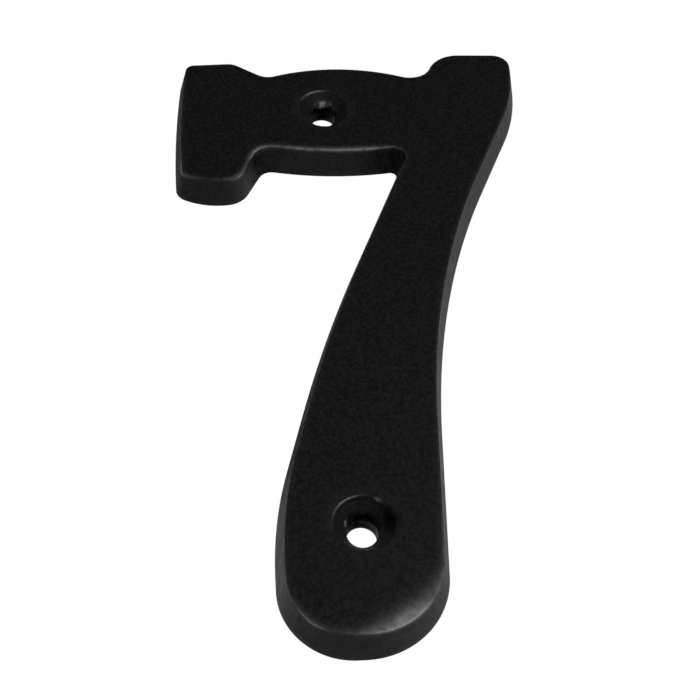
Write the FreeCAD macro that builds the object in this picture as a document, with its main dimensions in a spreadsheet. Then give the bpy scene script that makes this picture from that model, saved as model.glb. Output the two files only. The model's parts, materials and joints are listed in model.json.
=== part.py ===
import FreeCAD, Part
import math
import os
import Sketcher

# Door number 7, cast in one piece and fixed with two countersunk wood screws.
# X runs to the reader's right and Z up the wall. The back lies in the plane Y = 0,
# and the face looks along -Y. The origin is midway between the two screw holes.
# Sizes are in millimetres and degrees. The foot, the crossbar and the serifs are
# measured from the screw hole that they lie near, and the stem's two bends from the
# middle, so the stem alone grows with the hole spacing. A rise is upwards and a drop
# downwards; a side is measured from the line through the holes, and an inset from the
# outer side of a serif.

SIZES = {
    # The casting as a whole
    "thickness": 4.4,
    "draft_angle": 14.0,
    "front_edge_radius": 0.4,
    "hole_spacing": 73.3,
    "hole_diameter": 3.7,
    "countersink_diameter": 7.4,
    "countersink_angle": 72.0,
    "countersink_edge_radius": 0.2,
    # The foot, below and beside the lower hole
    "foot_drop": 14.95,
    "foot_flat": 0.9,
    "heel_side": 1.6,
    "heel_radius": 8.75,
    "toe_radius": 10.7,
    "toe_roll_heading": 50.0,
    "toe_roll_width": 4.5,
    "toe_roll_radius": 19.0,
    # The stem: a long hollow on its right, a long swell and the ankle on its left
    "hollow_side": 13.4,
    "hollow_rise": 0.8,
    "hollow_reach": 22.6,
    "swell_side": 2.55,
    "swell_drop": 6.0,
    "swell_reach": 13.35,
    "ankle_rise": 9.05,
    "ankle_reach": 7.15,
    # The right serif, above and beside the upper hole
    "shoulder_side": 31.65,
    "shoulder_rise": 11.6,
    "shoulder_radius": 36.0,
    "right_corner_radius": 3.6,
    "right_step": 3.6,
    "right_round_inset": 9.15,
    "right_round_radius": 6.4,
    "right_valley_radius": 2.7,
    # The crossbar, which swells above and below the upper hole
    "crown_side": 2.75,
    "crown_rise": 10.15,
    "crown_radius": 30.5,
    "belly_side": 1.65,
    "belly_drop": 10.95,
    "belly_radius": 50.0,
    "crook_side": 10.85,
    "crook_drop": 10.35,
    "crook_radius": 0.8,
    # The left serif
    "left_valley_radius": 1.7,
    "left_neck_slope": 34.7,
    "left_neck_inset": 9.2,
    "left_step": 1.3,
    "left_round_radius": 3.7,
    "left_top_tilt": 3.9,
    "left_corner_radius": 2.3,
    "left_edge_side": 22.55,
    "left_edge_drop": 6.0,
    "left_edge_radius": 190.0,
    "chin_corner_radius": 2.4,
    "chin_inset": 6.3,
    "chin_drop": 17.0,
    "chin_radius": 10.5,
    "jaw_radius": 3.8,
    "throat_inset": 11.1,
    "throat_drop": 14.0,
    "throat_slope": 63.7,
    "throat_radius": 2.0,
}


class Measure:
    """A number together with the spreadsheet formula that gives it."""

    def __init__(self, value, formula):
        self.value = value
        self.formula = formula

    def __neg__(self):
        return Measure(-self.value, "-(" + self.formula + ")")

    def __add__(self, other):
        return Measure(self.value + other.value, self.formula + " + " + other.formula)

    def __sub__(self, other):
        return Measure(self.value - other.value, self.formula + " - (" + other.formula + ")")

    def __truediv__(self, share):
        return Measure(self.value / share, "(" + self.formula + ") / " + str(share))


class Mark:
    """A point of the outline's layout, dimensioned from the origin."""

    def __init__(self, x, z):
        self.x = x
        self.z = z
        self.point = FreeCAD.Vector(x.value, z.value, 0)


class Line:
    """A straight run through a mark, along a heading."""

    def __init__(self, mark, heading):
        self.marks = [mark]
        self.heading = heading
        self.point = mark.point
        angle = math.radians(heading.value)
        self.ahead = FreeCAD.Vector(math.cos(angle), math.sin(angle), 0)


class Link(Line):
    """A straight run from one mark to the next."""

    def __init__(self, first, second):
        self.marks = [first, second]
        self.heading = None
        self.point = first.point
        self.ahead = (second.point - first.point).normalize()


class Tangent(Line):
    """A straight run that touches a round run and follows a heading."""

    def __init__(self, arc, heading):
        super().__init__(arc.centre, heading)
        self.marks = []
        self.point = touch_point(self, arc.point, arc.radius)


class Bridge(Tangent):
    """A straight run whose heading follows from the round runs on both its sides."""

    def __init__(self, arc, heading):
        super().__init__(arc, heading)
        self.heading = None


class Reach(Line):
    """A straight run that touches a round run, with a mark after or before it."""

    def __init__(self, arc, mark, mark_first=False):
        self.marks = [mark]
        self.heading = None
        self.point = mark.point
        away = mark.point - arc.point
        lean = math.asin(arc.radius / away.Length)
        angle = math.atan2(away.y, away.x) + (math.pi - lean if mark_first else lean)
        self.ahead = FreeCAD.Vector(math.cos(angle), math.sin(angle), 0)


class Arc:
    """A round run about a known centre, with the metal inside it."""

    def __init__(self, x, z, size):
        self.centre = Mark(x, z)
        self.point = self.centre.point
        self.size = size
        self.radius = size.value


class Rounding:
    """A round run that joins its two neighbours; a hollow one turns to the right."""

    def __init__(self, size, hollow=False):
        self.size = size
        self.radius = -size.value if hollow else size.value


class Bend(Rounding):
    """A round run that leaves two straight runs at a set reach from their shared mark."""

    def __init__(self, mark, reach):
        super().__init__(reach)
        self.mark = mark

    def fit(self, before, after):
        """Sets the radius, which is below zero where the runs turn to the right."""
        turn = math.atan2(turned_left(before.ahead).dot(after.ahead), before.ahead.dot(after.ahead))
        self.radius = self.size.value / math.tan(turn / 2)


def turned_left(ahead):
    return FreeCAD.Vector(-ahead.y, ahead.x, 0)


def touch_point(run, centre, radius):
    """The point where a circle of a signed radius touches a run."""
    if isinstance(run, Line):
        return centre - turned_left(run.ahead) * radius
    inward = (centre - run.point) / (radius - run.radius)
    return run.point - inward * run.radius


def centres_by_line(line, radius, round_run):
    """Centres of the circles that touch a straight run and a round run."""
    base = line.point + turned_left(line.ahead) * radius
    gap = base - round_run.point
    along = -gap.dot(line.ahead)
    reach = round_run.radius - radius
    half = math.sqrt(along ** 2 - gap.dot(gap) + reach ** 2)
    return [base + line.ahead * (along + step) for step in (half, -half)]


def centres_by_lines(before, after, radius):
    """The centre of the circle that touches two straight runs."""
    first = before.point + turned_left(before.ahead) * radius
    second = after.point + turned_left(after.ahead) * radius
    normal = turned_left(after.ahead)
    step = (second - first).dot(normal) / before.ahead.dot(normal)
    return [first + before.ahead * step]


def centres_by_arcs(before, after, radius):
    """Centres of the circles that touch two round runs."""
    reach = before.radius - radius
    across = after.point - before.point
    span = across.Length
    along = (span ** 2 + reach ** 2 - (after.radius - radius) ** 2) / (2 * span)
    aside = math.sqrt(reach ** 2 - along ** 2)
    middle = before.point + across * (along / span)
    return [middle + turned_left(across) * (side / span) for side in (aside, -aside)]


def turn_of(centre, radius, start, end):
    """The signed angle through which a round run turns from start to end."""
    first = start - centre
    last = end - centre
    turn = math.atan2(first.x * last.y - first.y * last.x, first.dot(last))
    if turn * radius < 0:
        turn += math.copysign(2 * math.pi, radius)
    return turn


def settle(before, rounding, after):
    """Gives a rounding its centre, by the shorter of the possible turns."""
    if isinstance(rounding, Bend):
        rounding.fit(before, after)
    if isinstance(before, Line) and isinstance(after, Line):
        centres = centres_by_lines(before, after, rounding.radius)
    elif isinstance(before, Line):
        centres = centres_by_line(before, rounding.radius, after)
    elif isinstance(after, Line):
        centres = centres_by_line(after, rounding.radius, before)
    else:
        centres = centres_by_arcs(before, after, rounding.radius)

    def turn(centre):
        start = touch_point(before, centre, rounding.radius)
        end = touch_point(after, centre, rounding.radius)
        return abs(turn_of(centre, rounding.radius, start, end))

    rounding.point = min(centres, key=turn)


def joint(first, second):
    """The point where two neighbouring runs meet."""
    if isinstance(first, Line):
        return touch_point(first, second.point, second.radius)
    if isinstance(second, Line):
        return touch_point(second, first.point, first.radius)
    return touch_point(first, second.point, second.radius)


doc = FreeCAD.newDocument("door_number")
sheet = doc.addObject("Spreadsheet::Sheet", "sizes")
for row, (alias, number) in enumerate(SIZES.items(), start=1):
    sheet.set("A" + str(row), alias)
    sheet.set("B" + str(row), str(number))
    sheet.setAlias("B" + str(row), alias)
doc.recompute()


def size(alias):
    return Measure(sheet.get(alias), sheet.Name + "." + alias)


def fixed(number):
    return Measure(number, str(number))


# Heights of the two screw holes, and the plain headings
upper = size("hole_spacing") / 2
lower = -upper
RIGHT = fixed(0)
LEFT = fixed(180)
DOWN = fixed(-90)

# Round runs whose centres are known
foot_bottom = lower - size("foot_drop")
heel = Arc(-size("heel_side"), foot_bottom + size("heel_radius"), size("heel_radius"))
toe = Arc(
    size("foot_flat") - size("heel_side"),
    foot_bottom + size("toe_radius"),
    size("toe_radius"),
)
crown_top = upper + size("crown_rise")
right_top = crown_top + size("right_step")
shoulder = Arc(
    size("shoulder_side") - size("shoulder_radius"),
    upper + size("shoulder_rise"),
    size("shoulder_radius"),
)
right_round = Arc(
    size("shoulder_side") - size("right_round_inset"),
    right_top - size("right_round_radius"),
    size("right_round_radius"),
)
crown = Arc(size("crown_side"), crown_top - size("crown_radius"), size("crown_radius"))
left_edge = Arc(
    size("left_edge_radius") - size("left_edge_side"),
    upper - size("left_edge_drop"),
    size("left_edge_radius"),
)
chin = Arc(
    size("chin_inset") - size("left_edge_side"),
    upper - size("chin_drop") + size("chin_radius"),
    size("chin_radius"),
)
belly = Arc(
    size("belly_side"),
    upper - size("belly_drop") + size("belly_radius"),
    size("belly_radius"),
)

# Corners of the outline before they are rounded
hollow_corner = Mark(size("hollow_side"), size("hollow_rise"))
swell_corner = Mark(-size("swell_side"), -size("swell_drop"))
ankle_corner = Mark(
    -(size("heel_side") + size("heel_radius")),
    foot_bottom + size("heel_radius") + size("ankle_rise"),
)
crook_corner = Mark(size("crook_side"), upper - size("crook_drop"))
left_neck_corner = Mark(
    size("left_neck_inset") - size("left_edge_side"),
    crown_top + size("left_step"),
)

# A point of the straight run inside the left serif
throat_mark = Mark(size("throat_inset") - size("left_edge_side"), upper - size("throat_drop"))

# The outline on the plane of the back, anticlockwise from the foot as the reader sees it
OUTLINE = {
    "foot": Bridge(toe, RIGHT),
    "toe": toe,
    "toe_side": Reach(toe, hollow_corner),
    "hollow": Bend(hollow_corner, size("hollow_reach")),
    "stem_right": Reach(shoulder, hollow_corner, mark_first=True),
    "shoulder": shoulder,
    "right_corner": Rounding(size("right_corner_radius")),
    "right_top": Tangent(right_round, LEFT),
    "right_round": right_round,
    "right_valley": Rounding(size("right_valley_radius"), hollow=True),
    "crown": crown,
    "left_valley": Rounding(size("left_valley_radius"), hollow=True),
    "left_neck": Line(left_neck_corner, LEFT - size("left_neck_slope")),
    "left_round": Rounding(size("left_round_radius")),
    "left_top": Line(left_neck_corner, size("left_top_tilt") - LEFT),
    "left_corner": Rounding(size("left_corner_radius")),
    "left_edge": left_edge,
    "chin_corner": Rounding(size("chin_corner_radius")),
    "chin": chin,
    "jaw": Rounding(size("jaw_radius")),
    "throat": Line(throat_mark, size("throat_slope")),
    "throat_hollow": Rounding(size("throat_radius"), hollow=True),
    "belly": belly,
    "crook": Rounding(size("crook_radius"), hollow=True),
    "stem_left": Link(crook_corner, swell_corner),
    "swell": Bend(swell_corner, size("swell_reach")),
    "calf": Link(swell_corner, ankle_corner),
    "ankle": Bend(ankle_corner, size("ankle_reach")),
    "heel_side": Tangent(heel, DOWN),
    "heel": heel,
}

body = doc.addObject("PartDesign::Body", "cast_blank")

# How a sketch numbers the points of a run, and its own origin
FIRST, LAST, CENTRE = range(1, 4)
ORIGIN = (-1, 1)


def body_sketch(name, role):
    """A sketch on one of the casting's main planes."""
    sketch = body.newObject("Sketcher::SketchObject", name)
    plane = next(item for item in body.Origin.OriginFeatures if item.Role == role)
    sketch.AttachmentSupport = [(plane, "")]
    sketch.MapMode = "FlatFace"
    return sketch


def front_sketch(name, lift):
    """A sketch parallel to the back, seen from the front: X right and Z up."""
    sketch = body_sketch(name, "XZ_Plane")
    sketch.setExpression("AttachmentOffset.Base.z", lift.formula)
    return sketch


def bind(sketch, name, kind, targets, measure):
    """Adds a dimension to a sketch and binds it to the spreadsheet."""
    value = math.radians(measure.value) if kind == "Angle" else measure.value
    index = sketch.addConstraint(Sketcher.Constraint(kind, *targets, value))
    sketch.renameConstraint(index, name)
    sketch.setExpression("Constraints." + name, measure.formula)


def bind_point(sketch, name, geometry, position, mark):
    bind(sketch, name + "_x", "DistanceX", (*ORIGIN, geometry, position), mark.x)
    bind(sketch, name + "_z", "DistanceY", (*ORIGIN, geometry, position), mark.z)


def draw_line(sketch, name, line, start, end, marks):
    """Draws a straight run and returns its number and its first and last points."""
    index = sketch.addGeometry(Part.LineSegment(start, end))
    for mark in line.marks:
        if mark not in marks:
            marks[mark] = sketch.addGeometry(Part.Point(mark.point), True)
            bind_point(sketch, "mark" + str(len(marks)), marks[mark], FIRST, mark)
        sketch.addConstraint(Sketcher.Constraint("PointOnObject", marks[mark], FIRST, index))
    if line.heading is not None:
        bind(sketch, name + "_heading", "Angle", (index,), line.heading)
    return index, FIRST, LAST


def draw_arc(sketch, name, run, start, end, marks):
    """Draws a round run, which the sketch keeps anticlockwise, and returns the same."""
    circle = Part.Circle(run.point, FreeCAD.Vector(0, 0, 1), abs(run.radius))
    ends = (start, end) if run.radius > 0 else (end, start)
    curve = Part.ArcOfCircle(circle, circle.parameter(ends[0]), circle.parameter(ends[1]))
    index = sketch.addGeometry(curve)
    entering, leaving = (FIRST, LAST) if run.radius > 0 else (LAST, FIRST)
    if isinstance(run, Bend):
        targets = (marks[run.mark], FIRST, index, entering)
        bind(sketch, name + "_reach", "Distance", targets, run.size)
    else:
        bind(sketch, name + "_radius", "Radius", (index,), run.size)
    if isinstance(run, Arc):
        bind_point(sketch, name + "_centre", index, CENTRE, run.centre)
    return index, entering, leaving


def draw_outline(sketch, outline):
    """Draws the closed outline, each run tangent to the next."""
    runs = list(outline.values())
    following = runs[1:] + runs[:1]
    for before, run, after in zip(runs, following, runs[2:] + runs[:2]):
        if isinstance(run, Rounding):
            settle(before, run, after)
    ends = [joint(first, second) for first, second in zip(runs, following)]
    drawn = []
    marks = {}
    for name, run, start, end in zip(outline, runs, ends[-1:] + ends[:-1], ends):
        if isinstance(run, Line):
            drawn.append(draw_line(sketch, name, run, start, end, marks))
        else:
            drawn.append(draw_arc(sketch, name, run, start, end, marks))
    for (first, _, leaving), (second, entering, _) in zip(drawn, drawn[1:] + drawn[:1]):
        sketch.addConstraint(Sketcher.Constraint("Tangent", first, leaving, second, entering))


# The casting: walls drafted so that it leaves its mould
outline = front_sketch("outline", fixed(0))
draw_outline(outline, OUTLINE)
casting = body.newObject("PartDesign::Pad", "casting")
casting.Profile = outline
casting.setExpression("Length", size("thickness").formula)
casting.setExpression("TaperAngle", (-size("draft_angle")).formula)

# Two countersunk screw holes, sunk from the face
screw_places = front_sketch("screw_places", size("thickness"))
for name, height in (("upper", upper), ("lower", lower)):
    spot = FreeCAD.Vector(0, height.value, 0)
    circle = Part.Circle(spot, FreeCAD.Vector(0, 0, 1), size("hole_diameter").value / 2)
    number = screw_places.addGeometry(circle)
    screw_places.addConstraint(Sketcher.Constraint("Vertical", *ORIGIN, number, CENTRE))
    bind(screw_places, name + "_z", "DistanceY", (*ORIGIN, number, CENTRE), height)
    bind(screw_places, name + "_radius", "Radius", (number,), size("hole_diameter") / 2)
doc.recompute()
holes = body.newObject("PartDesign::Hole", "screw_holes")
holes.Profile = screw_places
doc.recompute()
holes.DepthType = "ThroughAll"
holes.HoleCutType = "Countersink"
holes.HoleCutCustomValues = True
holes.setExpression("Diameter", size("hole_diameter").formula)
holes.setExpression("HoleCutDiameter", size("countersink_diameter").formula)
holes.setExpression("HoleCutCountersinkAngle", size("countersink_angle").formula)
doc.recompute()

# At the toe the face rolls off towards its edge, as polishing leaves it. The roll is a
# shallow round across the foot. It is drawn on a plane through the toe's centre, whose x
# runs outwards over the toe along the roll's heading and whose y is the casting's Y.
roll_profile = body_sketch("toe_roll_profile", "XY_Plane")
roll_turn = FreeCAD.Rotation(FreeCAD.Vector(0, 1, 0), size("toe_roll_heading").value)
roll_profile.AttachmentOffset = FreeCAD.Placement(FreeCAD.Vector(), roll_turn)
roll_profile.setExpression("AttachmentOffset.Base.x", toe.centre.x.formula)
roll_profile.setExpression("AttachmentOffset.Base.z", toe.centre.z.formula)
roll_profile.setExpression("AttachmentOffset.Rotation.Angle", size("toe_roll_heading").formula)
roll_start = size("toe_radius") - size("toe_roll_width")
roll_end = size("toe_radius")
roll_centre = Mark(roll_start, size("toe_roll_radius") - size("thickness"))
roll_cover = -(size("thickness") + size("toe_roll_width"))
quarter = math.pi / 2
roll_radius = size("toe_roll_radius").value
roll_circle = Part.Circle(roll_centre.point, FreeCAD.Vector(0, 0, 1), roll_radius)
roll_span = math.asin(size("toe_roll_width").value / roll_radius)
roll_arc = Part.ArcOfCircle(roll_circle, -quarter, roll_span - quarter)
corners = [
    roll_arc.EndPoint,
    FreeCAD.Vector(roll_end.value, roll_cover.value, 0),
    FreeCAD.Vector(roll_start.value, roll_cover.value, 0),
    roll_arc.StartPoint,
]
roll = roll_profile.addGeometry(roll_arc)
outer, cover, inner = [
    roll_profile.addGeometry(Part.LineSegment(start, end))
    for start, end in zip(corners, corners[1:])
]
bind_point(roll_profile, "roll_centre", roll, CENTRE, roll_centre)
bind(roll_profile, "roll_radius", "Radius", (roll,), size("toe_roll_radius"))
bind(roll_profile, "roll_end", "DistanceX", (*ORIGIN, roll, LAST), roll_end)
bind(roll_profile, "roll_cover", "DistanceY", (*ORIGIN, cover, FIRST), roll_cover)
roll_profile.addConstraint(Sketcher.Constraint("Vertical", roll, CENTRE, roll, FIRST))
roll_profile.addConstraint(Sketcher.Constraint("Vertical", outer))
roll_profile.addConstraint(Sketcher.Constraint("Horizontal", cover))
roll_profile.addConstraint(Sketcher.Constraint("Vertical", inner))
for first, second in ((roll, outer), (outer, cover), (cover, inner)):
    roll_profile.addConstraint(Sketcher.Constraint("Coincident", first, LAST, second, FIRST))
roll_profile.addConstraint(Sketcher.Constraint("Coincident", inner, LAST, roll, FIRST))
toe_roll = body.newObject("PartDesign::Pocket", "toe_roll")
toe_roll.Profile = roll_profile
toe_roll.Type = "ThroughAll"
toe_roll.SideType = "Symmetric"
doc.recompute()

# The front edge is softened all round, and the rims of the countersinks are just broken
edge_radius = size("front_edge_radius").value
rim_radius = size("countersink_edge_radius").value
MOST_LEAN = math.radians(35)


def looks_ahead(face):
    """Whether a face is a part of the casting's front, flat or rolled."""
    low_u, high_u, low_v, high_v = face.ParameterRange
    normal = face.normalAt((low_u + high_u) / 2, (low_v + high_v) / 2)
    return -normal.y > math.cos(MOST_LEAN)


front = [face for face in toe_roll.Shape.Faces if looks_ahead(face)]
softened = []
for number, edge in enumerate(toe_roll.Shape.Edges, start=1):
    sides = [face for face in front if any(edge.isSame(side) for side in face.Edges)]
    if len(sides) == 1:
        radius = rim_radius if edge.isClosed() else edge_radius
        softened.append((number, radius, radius))

numeral = doc.addObject("Part::Fillet", "numeral_seven")
numeral.Label = "numeral_seven"
numeral.Base = body
numeral.Edges = softened
doc.recompute()

# Every feature is sound, and the holes really pass through, before anything is written
for item in doc.Objects:
    if "Invalid" in item.State or "Error" in item.State:
        raise RuntimeError(item.Name + " failed: " + str(item.State))
for sketch in (outline, screw_places, roll_profile):
    if not sketch.FullyConstrained:
        raise RuntimeError(sketch.Name + " is not fully dimensioned")
hole_area = math.pi * (size("hole_diameter").value / 2) ** 2
if casting.Shape.Volume - holes.Shape.Volume < 2 * hole_area * size("thickness").value:
    raise RuntimeError("the screw holes do not pass through")
if toe_roll.Shape.Volume >= holes.Shape.Volume:
    raise RuntimeError("the toe is not rolled off")
if numeral.Shape.isNull() or not numeral.Shape.isValid() or len(numeral.Shape.Solids) != 1:
    raise RuntimeError("the numeral is not one sound solid")

os.makedirs("parts", exist_ok=True)
numeral.Shape.exportStep(os.path.join("parts", numeral.Label + ".step"))
print(numeral.Label, "volume", round(numeral.Shape.Volume, 1), numeral.Shape.BoundBox)
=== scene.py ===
import json
import math

import bmesh
import bpy
import numpy as np
from bpy.props import FloatProperty, FloatVectorProperty, PointerProperty
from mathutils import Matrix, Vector
from mathutils.geometry import delaunay_2d_cdt
from mathutils.kdtree import KDTree


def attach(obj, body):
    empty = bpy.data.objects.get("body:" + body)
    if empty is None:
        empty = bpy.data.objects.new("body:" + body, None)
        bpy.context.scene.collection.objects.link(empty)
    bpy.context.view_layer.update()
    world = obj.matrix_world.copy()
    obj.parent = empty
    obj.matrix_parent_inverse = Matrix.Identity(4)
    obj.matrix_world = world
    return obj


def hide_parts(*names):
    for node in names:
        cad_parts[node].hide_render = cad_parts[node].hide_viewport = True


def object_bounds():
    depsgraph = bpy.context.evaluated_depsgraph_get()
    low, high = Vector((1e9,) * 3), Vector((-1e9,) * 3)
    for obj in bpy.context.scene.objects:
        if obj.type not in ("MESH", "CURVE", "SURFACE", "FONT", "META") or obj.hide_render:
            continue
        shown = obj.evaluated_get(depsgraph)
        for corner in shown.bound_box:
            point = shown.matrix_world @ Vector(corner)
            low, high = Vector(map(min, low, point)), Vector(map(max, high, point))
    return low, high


bl_info = {
    "name": "Door number seven",
    "version": (1, 0, 0),
    "blender": (4, 5, 0),
    "location": "3D View > Sidebar > Door number",
    "description": "Dresses the cast numeral in its black coat and sets it in a studio",
    "category": "Object",
}

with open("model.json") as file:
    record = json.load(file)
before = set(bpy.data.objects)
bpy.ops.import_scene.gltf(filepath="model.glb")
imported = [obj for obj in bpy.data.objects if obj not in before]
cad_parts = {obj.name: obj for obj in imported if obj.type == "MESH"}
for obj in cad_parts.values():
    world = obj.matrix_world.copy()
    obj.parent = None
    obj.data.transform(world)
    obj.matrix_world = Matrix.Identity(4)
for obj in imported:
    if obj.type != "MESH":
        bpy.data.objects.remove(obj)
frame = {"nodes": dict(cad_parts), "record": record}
CAD_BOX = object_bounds()
CASTING = frame["nodes"]["numeral_seven"]
THICKNESS = CAD_BOX[1][1] - CAD_BOX[0][1]
SCREWS = next(m for m in frame["record"]["mounts"] if m["name"] == "screw_holes")
HOLE_RADIUS = SCREWS["dims"]["hole_r_mm"] / 1000
HOLE_HEIGHTS = [side * SCREWS["dims"]["spacing_y_mm"] / 2000 for side in (1, -1)]
UPPER, LOWER = range(2)


class CastingSettings(bpy.types.PropertyGroup):
    """The shape of the casting's walls, edges, toe and countersinks."""

    draft: FloatProperty(
        name="Draft", description="Slope of the walls towards the face", subtype="ANGLE",
        default=math.radians(14),
    )
    edge_radius: FloatProperty(
        name="Edge radius", description="Rounding of the front edge", default=0.0004,
        unit="LENGTH",
    )
    back_radius: FloatProperty(
        name="Back radius", description="Rounding of the back edge", default=0.0001,
        unit="LENGTH",
    )
    roll_heading: FloatProperty(
        name="Roll heading", description="How far below X the toe's roll-off points",
        subtype="ANGLE", default=math.radians(50),
    )
    roll_start: FloatProperty(
        name="Roll start", description="Distance from the toe's centre to its roll-off",
        default=0.0062, unit="LENGTH",
    )
    roll_radius: FloatProperty(
        name="Roll radius", description="Radius of the toe's roll-off", default=0.019,
        unit="LENGTH",
    )
    sink_radius: FloatProperty(
        name="Countersink radius", description="Radius of the countersinks at the face",
        default=0.0037, unit="LENGTH",
    )
    sink_angle: FloatProperty(
        name="Countersink angle", description="Included angle of the countersinks",
        subtype="ANGLE", default=math.radians(72),
    )
    sink_lip: FloatProperty(
        name="Countersink lip", description="How much lower the upper countersink's lip is cut",
        default=0.0009, unit="LENGTH",
    )
    ragged: FloatProperty(
        name="Ragged neck", description="How ragged the countersinks' necks are cast",
        default=0.00018, unit="LENGTH",
    )
    rim_radius: FloatProperty(
        name="Rim radius", description="Rounding of the countersinks' rims", default=0.0002,
        unit="LENGTH",
    )
    spacing: FloatProperty(
        name="Spacing", description="Distance between the mesh's points", default=0.00045,
        unit="LENGTH",
    )


class CoatSettings(bpy.types.PropertyGroup):
    """The satin black coat over the cast brass, where it is worn thin, and the highlights and
    shade painted on it.
    """

    colour: FloatVectorProperty(
        name="Colour", description="Colour of the coat", subtype="COLOR",
        size=3, min=0, max=1, default=(0.0044, 0.0044, 0.0044),
    )
    # bare metal where the coat is worn, which also paints the highlights along the edges and the
    # holes' rims
    worn_and_highlit_colour: FloatVectorProperty(
        name="Rubbed colour", description="Colour where the coat is rubbed thin and bright",
        subtype="COLOR", size=3, min=0, max=1, default=(0.45, 0.45, 0.45),
    )
    specular: FloatProperty(
        name="Specular", description="Strength of the coat's own reflection", default=0.5,
    )
    face_roughness: FloatProperty(
        name="Face roughness", description="Roughness of the coat on the face", default=0.45,
    )
    wall_roughness: FloatProperty(
        name="Wall roughness", description="Roughness of the coat on the cast walls",
        default=0.7,
    )
    # the roughness of the worn places and of the painted highlights
    worn_and_highlit_roughness: FloatProperty(
        name="Rubbed roughness", description="Roughness where the coat is rubbed", default=0.4,
    )
    mottle_size: FloatProperty(
        name="Mottle size", description="Size of the coat's light and dark specks",
        default=0.0005, unit="LENGTH",
    )
    mottle: FloatProperty(
        name="Mottle", description="Strength of the coat's light and dark specks", default=0.7,
    )
    grain_size: FloatProperty(
        name="Grain size", description="Size of the coat's orange peel",
        default=0.00045, unit="LENGTH",
    )
    grain_depth: FloatProperty(
        name="Grain depth", description="Depth of the coat's orange peel",
        default=0.000018, unit="LENGTH",
    )
    sink_depth: FloatProperty(
        name="Countersink depth", description="Depth of the rough skin in the screw holes",
        default=0.00006, unit="LENGTH",
    )
    # how far the wear and painted highlight reach onto the face; the toe's extra reach is its
    # broad painted highlight
    worn_and_highlit_reach: FloatProperty(
        name="Rub reach", description="How far rubbing reaches in from the front edge",
        default=0.00028, unit="LENGTH",
    )
    toe_highlight_reach: FloatProperty(
        name="Toe rub reach", description="How much further rubbing reaches over the toe",
        default=0.0008, unit="LENGTH",
    )


class StudioSettings(bpy.types.PropertyGroup):
    """The camera, the pale studio and its lamps."""

    camera_place: FloatVectorProperty(
        name="Camera place", description="Where the camera stands", subtype="TRANSLATION",
        size=3, default=(-0.01490, -0.12528, -0.10783),
    )
    camera_turn: FloatVectorProperty(
        name="Camera turn", description="The camera's tilt, roll and heading", subtype="EULER",
        size=3, default=tuple(math.radians(turn) for turn in (128.5666, 4.4369, -3.6705)),
    )
    lens: FloatProperty(
        name="Lens", description="Focal length on a 36 mm wide film, in millimetres",
        default=62.32,
    )
    ambient: FloatProperty(
        name="Ambient light", description="Level of the even light from all round", default=0.7,
    )
    front: FloatProperty(
        name="Front level", description="How bright the room before the face is in reflections",
        default=0.03,
    )
    bright_side: FloatVectorProperty(
        name="Bright side", description="The way to the bright side of the room",
        subtype="DIRECTION", size=3, default=(0.3, 1.0, 0.0),
    )
    room_edges: FloatVectorProperty(
        name="Room edges", description="Where the room turns from dim to white",
        size=2, default=(0.05, 0.5),
    )
    dim_top: FloatProperty(
        name="Dim top", description="How much the room dims upwards in reflections", default=0.3,
    )
    low_shade: FloatProperty(
        name="Low shade", description="How bright the room low down is in reflections",
        default=0.5,
    )
    floor_drop: FloatProperty(
        name="Floor drop", description="Height of the numeral's foot over the floor",
        default=0.30, unit="LENGTH",
    )
    floor_colour: FloatVectorProperty(
        name="Floor colour", description="Colour of the studio floor", subtype="COLOR",
        size=3, min=0, max=1, default=(0.7, 0.7, 0.7),
    )
    floor_glow: FloatProperty(
        name="Floor glow", description="How much the floor brightens towards a white background",
        default=0.5,
    )


# Lengths are in metres, angles in degrees unless they are turned to radians here.

# The mesh.
NEARLY = 1e-6  # less than this is no distance and no turn
SAME_LENGTH = 2e-3  # the sides of one arc differ by less than this share of their length
TURN_STEP = math.radians(6)  # the most that the outline turns from point to point
TOE_CENTRE = np.array([-0.0007, -0.0409])
FALL_ROUNDS = 5  # how often the wall's height is fitted to the face over it
WALL_SHARES = (0.15, 0.30, 0.45, 0.60, 0.72, 0.80, 0.85, 0.89, 0.93, 0.97)
FACE_ROWS = (0.00010, 0.00025, 0.00050, 0.00085)
EDGE_ROWS = 8
BACK_ROWS = 3
BACK_STRIP = 0.00015  # the width of a flat strip round the back's edges
RIM_ROWS = 5
CONE_ROWS = 14
BORE_ROWS = 6
HOLE_SIDES = 120
GRID_GAP = 0.7  # how near the face's loose points come to its edges, in spacings
NECK_PLACE = 0.12  # where the ragged neck is thickest, as a share of the cone
NECK_SPREAD = 0.18
RAGGED_WAVES = {
    # waves round the hole: (start, strength)
    3: (0.5, 0.30), 5: (2.1, 0.35), 8: (4.0, 0.25), 13: (1.2, 0.30), 21: (5.3, 0.20),
}
ROUGH_HALF = (1.5, 0.3)  # how the upper half of a countersink is told from the lower one
ROUGH_FADE = 4  # how fast its rough skin comes in below the rim

# Where the coat is worn, and where highlights and shade are painted on it.
WORN_AND_HIGHLIT = {
    # place on the front edge: (x, z, reach, strength, shift of the brightest line);
    # a shift below zero moves it down the wall, in shares of the rounding;
    # these spots are painted highlights where light catches the edge, over the light wear of the
    # whole edge
    "toe": (0.0034, -0.0495, 0.0028, 0.62, 0.0),
    "foot": (0.0050, -0.0470, 0.0080, 0.20, 0.0),
    "heel": (-0.0066, -0.0485, 0.0014, 0.24, -0.8),
    "bar_right": (0.0044, 0.0267, 0.0036, 0.62, 0.0),
    "bar_left": (-0.0030, 0.0267, 0.0050, 0.40, 0.0),
    "chin_left": (-0.0205, 0.0236, 0.0018, 0.50, -1.1),
    "chin_right": (-0.0135, 0.0220, 0.0016, 0.25, -0.7),
    "throat": (-0.0113, 0.0272, 0.0025, 0.40, 0.0),
}
SHIFT_REACH = 1.5  # how far a shift reaches, in reaches of its place
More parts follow.
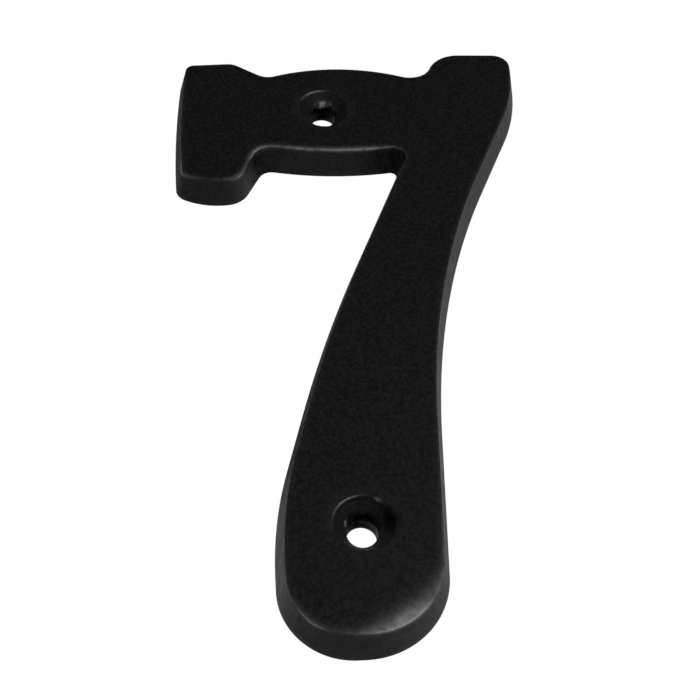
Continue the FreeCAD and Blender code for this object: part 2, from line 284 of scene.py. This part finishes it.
LEAST_RUB = 0.03  # the rubbing that the whole edge has
WORN_AND_HIGHLIT_FADE = 1.2  # how sharply the wear and painted highlight end on the face
BRIGHTEST_LINE_START = 0.4  # where the brightest line of the wear and painted highlight runs, as a share of the rounding
TOE_HIGHLIGHT_START = 0.3  # how much further up it runs at the toe, under the toe's broad painted highlight
# the middle and spread of the toe's broad painted highlight
TOE_HIGHLIGHT_PLACE = (0.0045, -0.0489)
TOE_HIGHLIGHT_SPREAD = 0.0055
# how far the wear and painted highlight reach down a wall, before the matt wall and its painted
# shade begin
WALL_WORN_AND_HIGHLIT_REACH = 0.00012
BARELY_WORN_AND_HIGHLIT = 0.1  # less wear and painted highlight than this leaves a wall matt
WALL_SHADE = {
    # painted shade on a wall, in the crook's inner corners and down the stem's left side: (x, z,
    # reach, strength)
    "crook_right": (0.0096, 0.0256, 0.0036, 0.60),
    "crook_left": (-0.0100, 0.0256, 0.0020, 0.65),
    "stem_left_1": (0.0008, 0.0020, 0.0055, 0.40),
    "stem_left_2": (-0.0024, -0.0070, 0.0055, 0.50),
    "stem_left_3": (-0.0052, -0.0160, 0.0055, 0.75),
    "stem_left_4": (-0.0078, -0.0250, 0.0050, 0.90),
}
# The patches in the screw holes are given as (hole, angle, spread of the angle, share,
# spread of the share, strength). The share is 1 at the rim, 0 at the neck, -1 at the back.
# The bright patches are painted highlights along the rims' upper left, bright specks in the
# cones and a small bright nick on the lower hole's rim.
HOLE_HIGHLIGHTS_AND_SPECKS = {
    "upper_rim": (UPPER, 115, 26, 1.0, 0.05, 0.42),
    "upper_throat": (UPPER, 84, 22, 0.34, 0.11, 0.75),
    "lower_rim": (LOWER, 128, 28, 1.0, 0.05, 0.42),
    "lower_speck": (LOWER, 150, 9, 0.20, 0.07, 0.50),
    "lower_nick": (LOWER, 58, 6, 0.97, 0.06, 0.25),
}
# painted shade in the screw holes: in the necks, in the bores, and on the lower hole's right side
# and top
HOLE_SHADE = {
    "upper_neck": (UPPER, 80, 60, 0.08, 0.14, 1.0),
    "lower_neck": (LOWER, 85, 55, 0.14, 0.14, 1.0),
    "lower_side": (LOWER, 8, 26, 0.80, 0.28, 1.0),
    "lower_top": (LOWER, 95, 35, 0.90, 0.10, 0.6),
    "upper_bore": (UPPER, 100, 75, -0.5, 0.6, 1.0),
    "lower_bore": (LOWER, 110, 75, -0.5, 0.6, 1.0),
}
HOLE_PATCHES_END = 1.03  # the share beyond which the face round a hole has none of its painted highlights and specks

# The coat's patterns.
NOISES = {
    # name: (size of its specks, detail, roughness, offset)
    "breakup": (0.0011, 3, 0.60, (3, 1, 0)),
    "hole_breakup": (0.0008, 3, 0.60, (2, 6, 5)),
    "flecks": (0.0009, 4, 0.65, (4, 0, 9)),
    "streaks": (0.0016, 3, 0.60, (0, 5, 2)),
    "pits": (0.0009, 4, 0.65, (1, 8, 0)),
}
# the same without the size, which the coat's settings give
MOTTLE_NOISE = (2, 0.60)
PEEL_NOISE = (3, 0.60, (7, 0, 4))
SPANS = {
    # name: (from the strength, to the strength, for noise from, for noise to)
    "breakup": (0.45, 1.35, 0.30, 0.70),
    "hole_breakup": (0.10, 1.50, 0.44, 0.56),
    "flecks": (0.45, 1.20, 0.38, 0.62),
    "streaks": (-0.05, 0.05, 0.30, 0.70),
    "mottle": (0.0, 1.0, 0.38, 0.62),
}
BLACK = (0, 0, 0, 1)
WHITE = (1, 1, 1, 1)

# The studio.
SHADE_HEIGHTS = (-0.6, -0.1)  # between these heights the room's low part comes out of shade
FLOOR_SIZE = 40
FLOOR_ROUGHNESS = 0.9
FLOOR_SPECULAR = 0.1
LAMPS = {
    # name: (towards the lamp, distance, width, power in watts)
    "right_box": ((0.56, -0.82, 0.02), 0.6, 0.25, 0.62),
    "low_box": ((0.35, -0.70, -0.62), 0.5, 0.25, 0.30),
    "left_box": ((-0.60, 0.75, 0.30), 0.6, 0.25, 0.33),
    "front_box": ((-0.62, -0.66, -0.42), 0.6, 0.35, 0.20),
}


def spots(points, rows, start=0.0):
    """How strong round spots are together at each point."""
    strength = np.full(len(points), start)
    for x, z, reach, level in rows:
        away = np.hypot(points[:, 0] - x, points[:, 1] - z)
        strength += level * np.exp(-(away / reach) ** 2)
    return strength


def worn_and_highlit_strength(points):
    """How strongly the front edge is worn and painted with highlights near each point."""
    rows = [(x, z, reach, level) for x, z, reach, level, _ in WORN_AND_HIGHLIT.values()]
    return np.clip(spots(points, rows, LEAST_RUB), 0, 1)


def wall_shade(points):
    """How much painted shade the walls have near each point."""
    return np.clip(spots(points, WALL_SHADE.values()), 0, 1)


def toe_nearness(points):
    """How near points are to the middle of the toe's painted highlight, from 0 to 1."""
    return spots(points, [(*TOE_HIGHLIGHT_PLACE, TOE_HIGHLIGHT_SPREAD, 1)])


def brightest_line(points):
    """Where across the rounding the brightest line of wear and painted highlight runs, as a share
    of it.
    """
    rows = [(x, z, SHIFT_REACH * reach, shift) for x, z, reach, _, shift in WORN_AND_HIGHLIT.values()]
    return BRIGHTEST_LINE_START + TOE_HIGHLIGHT_START * toe_nearness(points) + spots(points, rows)


def worn_and_highlit_face(points, gap, settings):
    """How much wear and painted highlight points of the face have, at a gap from the rounded
    edge.
    """
    reach = settings.worn_and_highlit_reach + settings.toe_highlight_reach * toe_nearness(points)
    return worn_and_highlit_strength(points) * np.exp(-(gap / reach) ** WORN_AND_HIGHLIT_FADE)


def patches(table, hole, angles, share):
    """How strong a table's patches are round a screw hole, at a share of its cone."""
    strength = np.zeros(len(angles))
    for place, angle, spread, middle, reach, level in table.values():
        if place == hole:
            away = np.remainder(angles - math.radians(angle) + math.pi, 2 * math.pi) - math.pi
            around = np.exp(-(away / math.radians(spread)) ** 2)
            strength += level * around * np.exp(-((share - middle) / reach) ** 2)
    return strength


class Tree:
    """The nodes of a material or of the world, with short ways to add and join them."""

    def __init__(self, owner):
        owner.use_nodes = True
        self.nodes = owner.node_tree.nodes
        self.links = owner.node_tree.links

    def join(self, value, socket):
        """Gives a socket a number, a colour or another node's output."""
        if isinstance(value, bpy.types.NodeSocket):
            self.links.new(value, socket)
        else:
            socket.default_value = value

    def add(self, kind, inputs, **settings):
        """Adds a node with its settings and the values of its inputs."""
        node = self.nodes.new(kind)
        for name, value in settings.items():
            setattr(node, name, value)
        for socket, value in inputs.items():
            self.join(value, node.inputs[socket])
        return node

    def reckon(self, operation, *values, **settings):
        """Reckons with two or three numbers."""
        inputs = dict(enumerate(values))
        return self.add("ShaderNodeMath", inputs, operation=operation, **settings).outputs[0]

    def mix(self, share, first, second):
        """A number between two others."""
        return self.add("ShaderNodeMix", {0: share, 2: first, 3: second}).outputs[0]

    def blend(self, share, first, second):
        """A colour between two others."""
        node = self.add("ShaderNodeMix", {}, data_type="RGBA")
        for socket, value in ((0, share), (6, first), (7, second)):
            self.join(value, node.inputs[socket])
        return node.outputs[2]

    def span(self, value, low, high, from_low=0.0, from_high=1.0, **settings):
        """Maps a value from one range to another."""
        return self.add("ShaderNodeMapRange", {
            "Value": value, "From Min": from_low, "From Max": from_high,
            "To Min": low, "To Max": high,
        }, **settings).outputs["Result"]

    def attribute(self, name):
        """One of the mesh's masks."""
        return self.add("ShaderNodeAttribute", {}, attribute_name=name).outputs["Fac"]

    def noise(self, size, detail, roughness, offset=(0, 0, 0)):
        """Noise whose specks have a given size, from 0 to 1."""
        place = self.add("ShaderNodeTexCoord", {}).outputs["Object"]
        moved = self.add("ShaderNodeMapping", {"Vector": place, "Location": offset})
        return self.add("ShaderNodeTexNoise", {
            "Vector": moved.outputs["Vector"], "Scale": 1 / size, "Detail": detail,
            "Roughness": roughness,
        }).outputs["Fac"]

    def bump(self, height, distance, inputs=None):
        """A bumpy normal."""
        inputs = {"Height": height, "Distance": distance, **(inputs or {})}
        return self.add("ShaderNodeBump", inputs).outputs["Normal"]

    def by_ray(self, levels, otherwise):
        """A strength that is chosen by the kind of ray that meets the surface."""
        rays = self.add("ShaderNodeLightPath", {})
        for name, level in levels.items():
            otherwise = self.mix(rays.outputs[name], otherwise, level)
        return otherwise


def coat_material(settings):
    """Satin black coat: finely mottled, matt on the walls, worn bright along its edges with
    painted highlights there, and with painted shade on the walls and in the screw holes.
    """
    material = bpy.data.materials.new("satin_black_coat")
    tree = Tree(material)
    shader = tree.nodes["Principled BSDF"]
    patterns = {name: tree.noise(*noise) for name, noise in NOISES.items()}
    patterns["mottle"] = tree.noise(settings.mottle_size, *MOTTLE_NOISE)
    levels = {name: tree.span(patterns[name], *span) for name, span in SPANS.items()}
    sink = tree.attribute("sink")
    # the edges' wear with painted highlights, broken up, and broken up further in the holes
    worn_and_highlit_edge = tree.reckon("MULTIPLY", tree.attribute("rubbed"), levels["breakup"])
    rubbed = tree.reckon("MULTIPLY", worn_and_highlit_edge, tree.mix(sink, 1.0, levels["hole_breakup"]))
    # painted shade, broken into flecks
    soot = tree.attribute("soot")
    shade_mask = tree.reckon("MULTIPLY", soot, levels["flecks"], use_clamp=True)
    dark, light = (
        (*(channel * factor for channel in settings.colour), 1)
        for factor in (1 - settings.mottle, 1 + settings.mottle)
    )
    # painted shade takes the coat to black, and wear with painted highlights takes it to bare
    # grey
    coat = tree.blend(shade_mask, tree.blend(levels["mottle"], dark, light), BLACK)
    tree.join(tree.blend(rubbed, coat, (*settings.worn_and_highlit_colour, 1)), shader.inputs["Base Color"])
    # painted shade counts as black metal, so that it reflects nothing
    tree.join(tree.reckon("MAXIMUM", rubbed, shade_mask), shader.inputs["Metallic"])
    rough = tree.span(tree.attribute("wall"), settings.face_roughness, settings.wall_roughness)
    uneven = tree.mix(shade_mask, tree.reckon("ADD", rough, levels["streaks"]), 1.0)
    tree.join(tree.mix(rubbed, uneven, settings.worn_and_highlit_roughness), shader.inputs["Roughness"])
    shader.inputs["Specular IOR Level"].default_value = settings.specular
    peel = tree.bump(tree.noise(settings.grain_size, *PEEL_NOISE), settings.grain_depth)
    pits = tree.reckon("MULTIPLY", patterns["pits"], sink)
    tree.join(tree.bump(pits, settings.sink_depth, {"Normal": peel}), shader.inputs["Normal"])
    return material


def place_key(place):
    """The same key for corners that lie at one place."""
    return round(place[0] / NEARLY), round(place[2] / NEARLY)


def back_corners():
    """The corners of the casting's outline on its back plane, in order."""
    mesh = CASTING.data
    places = {}
    sides = set()
    for face in mesh.polygons:
        around = [mesh.vertices[index].co for index in face.vertices]
        if all(abs(corner.y) < NEARLY for corner in around):
            keys = [place_key(corner) for corner in around]
            places.update(zip(keys, around))
            sides.update(zip(keys, keys[1:] + keys[:1]))
    following = {first: second for first, second in sides if (second, first) not in sides}
    loops = []
    while following:
        start, here = following.popitem()
        loop = [start]
        while here != start:
            loop.append(here)
            here = following.pop(here)
        loops.append(loop)
    corners = np.array([(places[key].x, places[key].z) for key in max(loops, key=len)])
    after = np.roll(corners, -1, 0)
    area = np.sum(corners[:, 0] * after[:, 1] - corners[:, 1] * after[:, 0])
    return corners if area > 0 else corners[::-1]


def side_turns(sides):
    """How far the true outline turns along each straight side between two corners."""
    lengths = np.hypot(sides[:, 0], sides[:, 1])
    before = np.roll(sides, 1, 0)
    bends = np.arctan2(
        before[:, 0] * sides[:, 1] - before[:, 1] * sides[:, 0],
        before[:, 0] * sides[:, 0] + before[:, 1] * sides[:, 1],
    )
    count = len(sides)
    turns = [None] * count
    for index in range(count):
        if abs(lengths[index] - lengths[index - 1]) < SAME_LENGTH * lengths[index]:
            turns[index] = turns[index - 1] = bends[index]
    while None in turns:
        for index in range(count):
            after = (index + 1) % count
            if turns[index] is None and turns[index - 1] is not None:
                turns[index] = 2 * bends[index] - turns[index - 1]
            elif turns[index] is None and turns[after] is not None:
                turns[index] = 2 * bends[after] - turns[after]
    return np.array(turns)


def turned(way, angle):
    """A direction in the plane of the face, turned to the left."""
    cos, sin = math.cos(angle), math.sin(angle)
    return np.array([way[0] * cos - way[1] * sin, way[0] * sin + way[1] * cos])


def smooth_outline(spacing):
    """Points at an even spacing along the outline's true arcs, and the way out at each."""
    corners = back_corners()
    sides = np.roll(corners, -1, 0) - corners
    points = []
    outward = []
    for corner, side, turn in zip(corners, sides, side_turns(sides)):
        length = np.hypot(*side)
        count = max(math.ceil(length / spacing), math.ceil(abs(turn) / TURN_STEP))
        for step in range(count):
            share = step / count
            reach = share
            if abs(turn) > NEARLY:
                reach = math.sin(turn * share / 2) / math.sin(turn / 2)
            points.append(corner + turned(side, turn * (share - 1) / 2) * reach)
            ahead = turned(side, turn * (share - 0.5)) / length
            outward.append((ahead[1], -ahead[0]))
    low, high = np.array(CAD_BOX)[:, [0, 2]]
    return np.clip(points, low, high), np.array(outward)


def face_fall(points, settings):
    """How far the face lies under its flat part, and how steeply it falls towards the toe."""
    heading = -settings.roll_heading
    reach = (points - TOE_CENTRE) @ turned((1, 0), heading) - settings.roll_start
    reach = np.clip(reach, 0, None)
    height = np.sqrt(settings.roll_radius ** 2 - reach ** 2)
    return settings.roll_radius - height, reach / height


def rounded_corner(corner, arriving, leaving, radius, steps):
    """Points of a rounding between two ways, which are angles in a section's plane."""
    turn = leaving - arriving
    reach = radius * np.tan(np.abs(turn) / 2)
    side = np.sign(turn)
    start = corner - reach * np.array([np.cos(arriving), np.sin(arriving)])
    centre = start + side * radius * np.array([-np.sin(arriving), np.cos(arriving)])
    rows = []
    for share in np.linspace(0, 1, steps + 1):
        angle = arriving + turn * share
        rows.append(centre + side * radius * np.array([np.sin(angle), -np.cos(angle)]))
    return rows


def wall_section(points, outward, settings):
    """Rows of insets and depths from the back, up the drafted wall and on to the face.

    Each row comes with its reach from the brightest line of wear and painted highlight, below
    zero down the wall.
    """
    draft = settings.draft
    depth = np.full(len(points), THICKNESS)
    for _ in range(FALL_ROUNDS):
        top = points - outward * (depth * math.tan(draft))[:, None]
        fall, steepness = face_fall(top, settings)
        depth = THICKNESS - fall
    heading = turned((1, 0), -settings.roll_heading)
    lean = np.arctan(steepness * (outward @ heading))
    flat = np.zeros(len(points))
    wall = np.pi / 2 - draft
    back = rounded_corner(
        np.array([flat, flat]), flat + np.pi, flat + wall, settings.back_radius, BACK_ROWS
    )
    sharp = np.array([depth * math.tan(draft), depth])
    edge = rounded_corner(sharp, flat + wall, lean, settings.edge_radius, EDGE_ROWS)
    back = [back[0] + np.array([flat + BACK_STRIP, flat])] + back
    wall_rows = [back[-1] + (edge[0] - back[-1]) * share for share in WALL_SHARES]
    arc = settings.edge_radius * (wall - lean)
    start = brightest_line(points - outward * edge[0][0][:, None])
    rows = [(row, row[1] - edge[0][1] - arc * start) for row in back + wall_rows]
    rows += [(row, arc * (number / EDGE_ROWS - start)) for number, row in enumerate(edge)]
    for step in FACE_ROWS:
        inset = edge[-1][0] + step
        fall, _ = face_fall(points - outward * inset[:, None], settings)
        rows.append((np.array([inset, THICKNESS - fall]), arc * (1 - start) + step))
    return rows


def neck_depth(settings):
    """How far in front of the back a countersink meets its bore."""
    cone = settings.sink_radius - HOLE_RADIUS
    return THICKNESS - cone / math.tan(settings.sink_angle / 2)


def hole_section(settings):
    """Rows of radii and depths from the rim of a countersink down to the back."""
    flat = np.zeros(1)
    mouth = np.array([flat + settings.sink_radius, flat + THICKNESS])
    neck = np.array([flat + HOLE_RADIUS, flat + neck_depth(settings)])
    foot = np.array([flat + HOLE_RADIUS, flat])
    down = flat + np.pi * 3 / 2 - settings.sink_angle / 2
    rim = rounded_corner(mouth, flat + np.pi, down, settings.rim_radius, RIM_ROWS)
    cone = [rim[-1] + (neck - rim[-1]) * share for share in np.linspace(0, 1, CONE_ROWS + 1)[1:]]
    bore = [neck + (foot - neck) * share for share in np.linspace(0, 1, BORE_ROWS + 1)[1:]]
    return rim + cone + bore


def inside(points, loop):
    """Which points lie inside a closed loop."""
    found = np.zeros(len(points), bool)
    for (x, z), (next_x, next_z) in zip(loop, np.roll(loop, -1, 0)):
        if z == next_z:
            continue
        crosses = (z > points[:, 1]) != (next_z > points[:, 1])
        crossing = (next_x - x) * (points[:, 1] - z) / (next_z - z) + x
        found ^= crosses & (points[:, 0] < crossing)
    return found


def gap_to(points, loop):
    """The distance from each point to the nearest point of a loop."""
    tree = KDTree(len(loop))
    for index, (x, z) in enumerate(loop):
        tree.insert((x, z, 0), index)
    tree.balance()
    return np.array([tree.find((x, z, 0))[2] for x, z in points])


def face_grid(rim, settings):
    """Points spread evenly over the face, clear of its rim and of the countersinks."""
    step = settings.spacing
    low, high = rim.min(0), rim.max(0)
    heights = np.arange(low[1], high[1], step * math.sqrt(3) / 2)
    across = np.arange(low[0], high[0], step)
    grid = [
        np.column_stack([across + (row % 2) * step / 2, np.full(len(across), height)])
        for row, height in enumerate(heights)
    ]
    points = np.concatenate(grid)
    points = points[inside(points, rim)]
    clear = gap_to(points, rim) > step * GRID_GAP
    sink = settings.sink_radius + settings.rim_radius + settings.sink_lip + step * GRID_GAP
    for height in HOLE_HEIGHTS:
        clear &= np.hypot(points[:, 0], points[:, 1] - height) > sink
    return points[clear]


class Shell:
    """The casting's skin while it is built: its places and its faces."""

    def __init__(self):
        self.places = []
        self.faces = []
        # the coat's masks, among them the wear with painted highlights and the painted shade
        self.masks = {"rubbed": [], "wall": [], "sink": [], "soot": []}

    def add(self, points, depth, **masks):
        """Adds points at a depth in front of the back, and returns their numbers."""
        first = len(self.places)
        depths = np.broadcast_to(depth, len(points))
        self.places.extend((x, -y, z) for (x, z), y in zip(points, depths))
        for name, values in self.masks.items():
            values.extend(np.broadcast_to(masks.get(name, 0), len(points)))
        return list(range(first, len(self.places)))

    def join(self, rows):
        """Fills the bands between closed rows of points."""
        for first, second in zip(rows, rows[1:]):
            self.faces += zip(first, first[1:] + first[:1], second[1:] + second[:1], second)

    def fill(self, rim, holes, loose=()):
        """Fills the region inside a rim and outside the holes."""
        numbers = list(loose)
        edges = []
        for loop in (rim, *holes):
            first = len(numbers)
            edges += [(first + i, first + (i + 1) % len(loop)) for i in range(len(loop))]
            numbers += loop
        flat = [Vector((self.places[number][0], self.places[number][2])) for number in numbers]
        _, _, faces, origin, _, _ = delaunay_2d_cdt(flat, edges, [], 1, NEARLY * NEARLY)
        mouths = [set(loop) for loop in holes]
        for face in faces:
            corners = tuple(numbers[origin[index][0]] for index in face)
            if not any(mouth.issuperset(corners) for mouth in mouths):
                self.faces.append(corners)

    def mesh(self, name):
        """The finished skin as a mesh, with its masks."""
        mesh = bpy.data.meshes.new(name)
        mesh.from_pydata(self.places, [], self.faces)
        skin = bmesh.new()
        skin.from_mesh(mesh)
        bmesh.ops.recalc_face_normals(skin, faces=skin.faces)
        skin.to_mesh(mesh)
        skin.free()
        for mask, values in self.masks.items():
            mesh.attributes.new(mask, "FLOAT", "POINT").data.foreach_set("value", values)
        mesh.shade_smooth()
        return mesh


def add_walls(shell, settings, coat):
    """Adds the walls and the rounded front edge, from the back up to the face.

    Gives the rows of points, where the last row runs, and its reach from the brightest line of
    wear and painted highlight.
    """
    points, outward = smooth_outline(settings.spacing)
    rows = []
    for (inset, depth), reach in wall_section(points, outward, settings):
        rim = points - outward * inset[:, None]
        below = np.clip(-reach, 0, None)
        # wear and painted highlight near the front edge, and painted shade down the walls
        rubbed = worn_and_highlit_face(rim, np.clip(reach, 0, None), coat)
        rubbed *= np.exp(-below / WALL_WORN_AND_HIGHLIT_REACH)
        wall = np.clip(below / WALL_WORN_AND_HIGHLIT_REACH - 1, 0, 1) * (rubbed < BARELY_WORN_AND_HIGHLIT)
        soot = wall_shade(rim) * np.clip(below / WALL_WORN_AND_HIGHLIT_REACH, 0, 1) * (depth > NEARLY)
        depth = np.minimum(depth, THICKNESS)
        rows.append(shell.add(rim, depth, rubbed=rubbed, wall=wall, soot=soot))
    shell.join(rows)
    return rows, rim, reach.mean()


def add_hole(shell, hole, settings):
    """Adds a countersunk screw hole, and gives the rings at its mouth and at the back."""
    angles = np.linspace(0, 2 * math.pi, HOLE_SIDES, endpoint=False)
    circle = np.column_stack([np.cos(angles), np.sin(angles)])
    lower = np.clip(-circle[:, 1], 0, None) ** 2
    steepness, start = ROUGH_HALF
    upper = np.clip(steepness * circle[:, 1] + start, 0, 1)
    waves = [level * np.sin(n * angles + first) for n, (first, level) in RAGGED_WAVES.items()]
    ragged = settings.ragged * upper * np.clip(sum(waves), -1, 1)
    lip = settings.sink_lip * lower * (hole == UPPER)
    centre = (0, HOLE_HEIGHTS[hole])
    neck = neck_depth(settings)
    rings = []
    for radius, depth in hole_section(settings):
        share = (radius - HOLE_RADIUS) / (settings.sink_radius - HOLE_RADIUS)
        near_neck = np.exp(-((share - NECK_PLACE) / NECK_SPREAD) ** 2) * (depth > NEARLY)
        ring = circle * (radius + lip * share + ragged * near_neck)[:, None] + centre
        sink = np.clip((1 - share) * ROUGH_FADE, 0, 1) * upper
        share -= (depth < neck) * (neck - depth) / neck
        # painted highlights and bright specks round the hole, and its painted shade
        rubbed = patches(HOLE_HIGHLIGHTS_AND_SPECKS, hole, angles, share) * (share < HOLE_PATCHES_END)
        soot = patches(HOLE_SHADE, hole, angles, share)
        rings.append(shell.add(ring, depth, wall=1, sink=sink, rubbed=rubbed, soot=soot))
    rings.append(shell.add(circle * (HOLE_RADIUS + BACK_STRIP) + centre, 0, wall=1))
    shell.join(rings)
    return rings[0], rings[-1]


def casting_mesh(settings, coat):
    """The casting as one closed mesh, with masks for its coat."""
    shell = Shell()
    rows, rim, reach = add_walls(shell, settings, coat)
    grid = face_grid(rim, settings)
    fall, _ = face_fall(grid, settings)
    # wear and painted highlight carried on to the face
    rubbed = worn_and_highlit_face(grid, gap_to(grid, rim) + reach, coat)
    loose = shell.add(grid, THICKNESS - fall, rubbed=rubbed)
    mouths, ends = zip(*(add_hole(shell, hole, settings) for hole in (UPPER, LOWER)))
    shell.fill(rows[-1], mouths, loose)
    shell.fill(rows[0], ends)
    return shell.mesh("numeral_casting")


class NUMERAL_OT_casting(bpy.types.Operator):
    """Makes the casting with its drafted walls, eased edges and countersinks, and coats it"""

    bl_idname = "numeral.casting"
    bl_label = "Make the casting"

    def execute(self, context):
        coat = context.scene.numeral_coat
        mesh = casting_mesh(context.scene.numeral_casting, coat)
        casting = bpy.data.objects.new("casting", mesh)
        context.scene.collection.objects.link(casting)
        mesh.materials.append(coat_material(coat))
        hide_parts("numeral_seven")
        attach(casting, "root")
        return {"FINISHED"}


def white_world(settings):
    """Even light, with a white background for the camera and for reflections.

    In reflections the room before the face and over it is dim, and low down it is shaded.
    """
    world = bpy.data.worlds.new("studio")
    bpy.context.scene.world = world
    tree = Tree(world)
    way = tree.add("ShaderNodeTexCoord", {}).outputs["Generated"]
    height = tree.add("ShaderNodeSeparateXYZ", {0: way}).outputs["Z"]
    side = tree.add("ShaderNodeVectorMath", {0: way, 1: settings.bright_side},
                    operation="DOT_PRODUCT").outputs["Value"]
    over = tree.reckon("MAXIMUM", height, 0)
    lit = tree.reckon("MULTIPLY_ADD", over, -settings.dim_top, side)
    room = tree.span(lit, settings.front, 1, *settings.room_edges,
                     interpolation_type="SMOOTHSTEP")
    shade = tree.span(height, settings.low_shade, 1, *SHADE_HEIGHTS)
    seen = tree.reckon("MULTIPLY", room, shade)
    levels = {"Is Glossy Ray": seen, "Is Transmission Ray": 1, "Is Camera Ray": 1}
    background = tree.nodes["Background"]
    background.inputs["Color"].default_value = WHITE
    tree.join(tree.by_ray(levels, settings.ambient), background.inputs["Strength"])


def plain_floor(settings):
    """A pale floor well below the numeral's foot."""
    place = (0, 0, CAD_BOX[0][2] - settings.floor_drop)
    bpy.ops.mesh.primitive_plane_add(size=FLOOR_SIZE, location=place)
    floor = bpy.context.object
    floor.name = "studio_floor"
    material = bpy.data.materials.new("pale_floor")
    tree = Tree(material)
    shader = tree.nodes["Principled BSDF"]
    shader.inputs["Base Color"].default_value = (*settings.floor_colour, 1)
    shader.inputs["Roughness"].default_value = FLOOR_ROUGHNESS
    shader.inputs["Specular IOR Level"].default_value = FLOOR_SPECULAR
    shader.inputs["Emission Color"].default_value = WHITE
    rays = ("Is Glossy Ray", "Is Transmission Ray", "Is Camera Ray")
    glow = tree.by_ray(dict.fromkeys(rays, settings.floor_glow), 0)
    tree.join(glow, shader.inputs["Emission Strength"])
    floor.data.materials.append(material)
    floor.visible_glossy = False


def lamp(name, towards, distance, width, power):
    """A square lamp that shines at the middle of the numeral."""
    data = bpy.data.lights.new(name, "AREA")
    data.size = width
    data.energy = power
    box = bpy.data.objects.new(name, data)
    direction = Vector(towards).normalized()
    box.location = direction * distance
    box.rotation_euler = direction.to_track_quat("Z", "Y").to_euler()
    bpy.context.scene.collection.objects.link(box)


class NUMERAL_OT_stage(bpy.types.Operator):
    """Sets the camera, the white surroundings, the floor and the lamps"""

    bl_idname = "numeral.stage"
    bl_label = "Set the stage"

    def execute(self, context):
        settings = context.scene.numeral_studio
        data = bpy.data.cameras.new("camera")
        data.lens = settings.lens
        camera = bpy.data.objects.new("camera", data)
        camera.location = settings.camera_place
        camera.rotation_euler = settings.camera_turn
        context.scene.collection.objects.link(camera)
        context.scene.camera = camera
        white_world(settings)
        plain_floor(settings)
        for name, values in LAMPS.items():
            lamp(name, *values)
        context.scene.view_settings.view_transform = "Standard"
        return {"FINISHED"}


class NUMERAL_PT_panel(bpy.types.Panel):
    """Lists the numeral's settings and steps"""

    bl_idname = "NUMERAL_PT_panel"
    bl_label = "Door number"
    bl_space_type = "VIEW_3D"
    bl_region_type = "UI"
    bl_category = "Door number"

    def draw(self, context):
        for group, step in GROUPS.items():
            box = self.layout.box()
            settings = getattr(context.scene, group)
            for name in settings.bl_rna.properties.keys():
                if name not in ("rna_type", "name"):
                    box.prop(settings, name)
            box.operator(step)


GROUPS = {
    "numeral_casting": NUMERAL_OT_casting.bl_idname,
    "numeral_coat": NUMERAL_OT_casting.bl_idname,
    "numeral_studio": NUMERAL_OT_stage.bl_idname,
}
CLASSES = (
    CastingSettings,
    CoatSettings,
    StudioSettings,
    NUMERAL_OT_casting,
    NUMERAL_OT_stage,
    NUMERAL_PT_panel,
)


def register():
    for item in CLASSES:
        bpy.utils.register_class(item)
    bpy.types.Scene.numeral_casting = PointerProperty(type=CastingSettings)
    bpy.types.Scene.numeral_coat = PointerProperty(type=CoatSettings)
    bpy.types.Scene.numeral_studio = PointerProperty(type=StudioSettings)


def unregister():
    del bpy.types.Scene.numeral_studio
    del bpy.types.Scene.numeral_coat
    del bpy.types.Scene.numeral_casting
    for item in reversed(CLASSES):
        bpy.utils.unregister_class(item)


def main():
    register()
    bpy.ops.numeral.casting()
    bpy.ops.numeral.stage()


if __name__ == "__main__":
    main()
